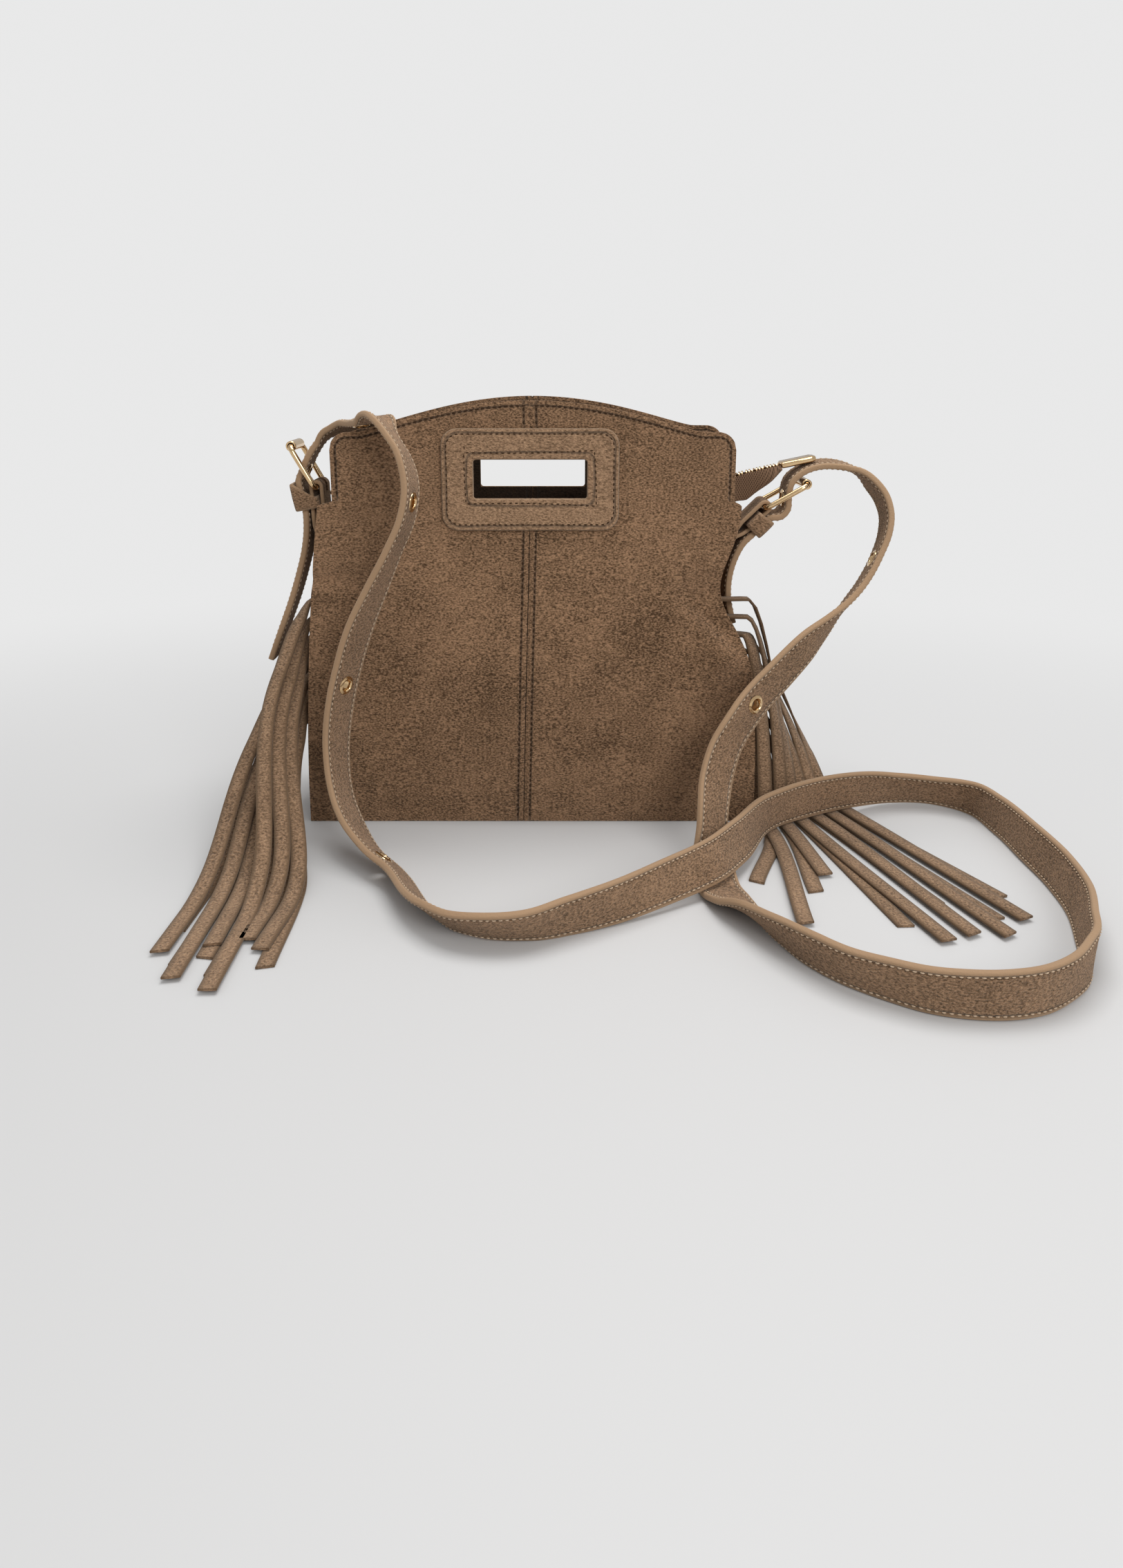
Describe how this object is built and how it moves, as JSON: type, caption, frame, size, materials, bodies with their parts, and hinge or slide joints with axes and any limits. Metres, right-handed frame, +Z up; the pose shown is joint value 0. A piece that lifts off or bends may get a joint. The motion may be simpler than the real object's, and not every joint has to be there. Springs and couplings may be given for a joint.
{
  "type": "fringed suede bag",
  "caption": "Soft flat-based suede bag with cut-out hand slots, a zip, fringed sides and a long eyeleted strap in roller buckles.",
  "frame": {"origin": "middle of the base, on the surface that the bag stands on", "axes": "+X to the right seen from the front, -Y out of the front, +Z up"},
  "size_m": [0.4534, 0.2909, 0.2495],
  "materials": {
    "suede": "napped suede, matt",
    "strap_suede": "napped suede with painted edges",
    "lace_suede": "napped suede",
    "lining_cloth": "plain woven",
    "zip_cloth": "woven tape",
    "gold": "polished pale gold plating"
  },
  "bodies": {
    "bag": {"front_panel_left": "suede", "front_panel_right": "suede", "front_handle_patch": "suede", "front_zip_band": "suede", "front_zip_tape": "zip_cloth", "front_zip_teeth": "gold", "back_panel_left": "suede", "back_panel_right": "suede", "back_handle_patch": "suede", "back_zip_band": "suede", "back_zip_tape": "zip_cloth", "back_zip_teeth": "gold", "base_panel": "suede", "lining": "lining_cloth", "zip_end_clip": "gold", "left_gusset": "suede", "left_tab": "strap_suede", "left_keeper": "strap_suede", "left_buckle_frame": "gold", "left_prong": "gold", "left_lace_front_1": "lace_suede", "left_lace_front_2": "lace_suede", "left_lace_front_3": "lace_suede", "left_lace_rear_1": "lace_suede", "left_lace_rear_2": "lace_suede", "left_lace_rear_3": "lace_suede", "right_gusset": "suede", "right_tab": "strap_suede", "right_keeper": "strap_suede", "right_buckle_frame": "gold", "right_prong": "gold", "right_lace_front_1": "lace_suede", "right_lace_front_2": "lace_suede", "right_lace_front_3": "lace_suede", "right_lace_rear_1": "lace_suede", "right_lace_rear_2": "lace_suede", "right_lace_rear_3": "lace_suede", "strap": "strap_suede", "eyelet_1": "gold", "eyelet_2": "gold", "eyelet_3": "gold", "eyelet_4": "gold", "eyelet_5": "gold", "eyelet_6": "gold", "eyelet_7": "gold", "eyelet_8": "gold"},
    "slider": {"zip_slider": "gold"},
    "pull": {"zip_pull": "gold"},
    "left_roller_tube": {"left_roller": "gold"},
    "right_roller_tube": {"right_roller": "gold"}
  },
  "joints": [
    {"name": "zip_slide", "type": "slide", "parent": "bag", "child": "slider", "axis": [1, 0, 0], "range_m": [0, 0.148]},
    {"name": "zip_pull_swing", "type": "hinge", "parent": "slider", "child": "pull", "pos_m": [-0.073, 0, 0.18465], "axis": [0, 1, 0], "range_deg": [0, 172]},
    {"name": "left_roller_turn", "type": "hinge", "parent": "bag", "child": "left_roller_tube", "pos_m": [-0.13809, 0, 0.21912], "axis": [0, 1, 0], "continuous": true},
    {"name": "right_roller_turn", "type": "hinge", "parent": "bag", "child": "right_roller_tube", "pos_m": [0.15995, 0, 0.19718], "axis": [0, 1, 0], "continuous": true}
  ]
}
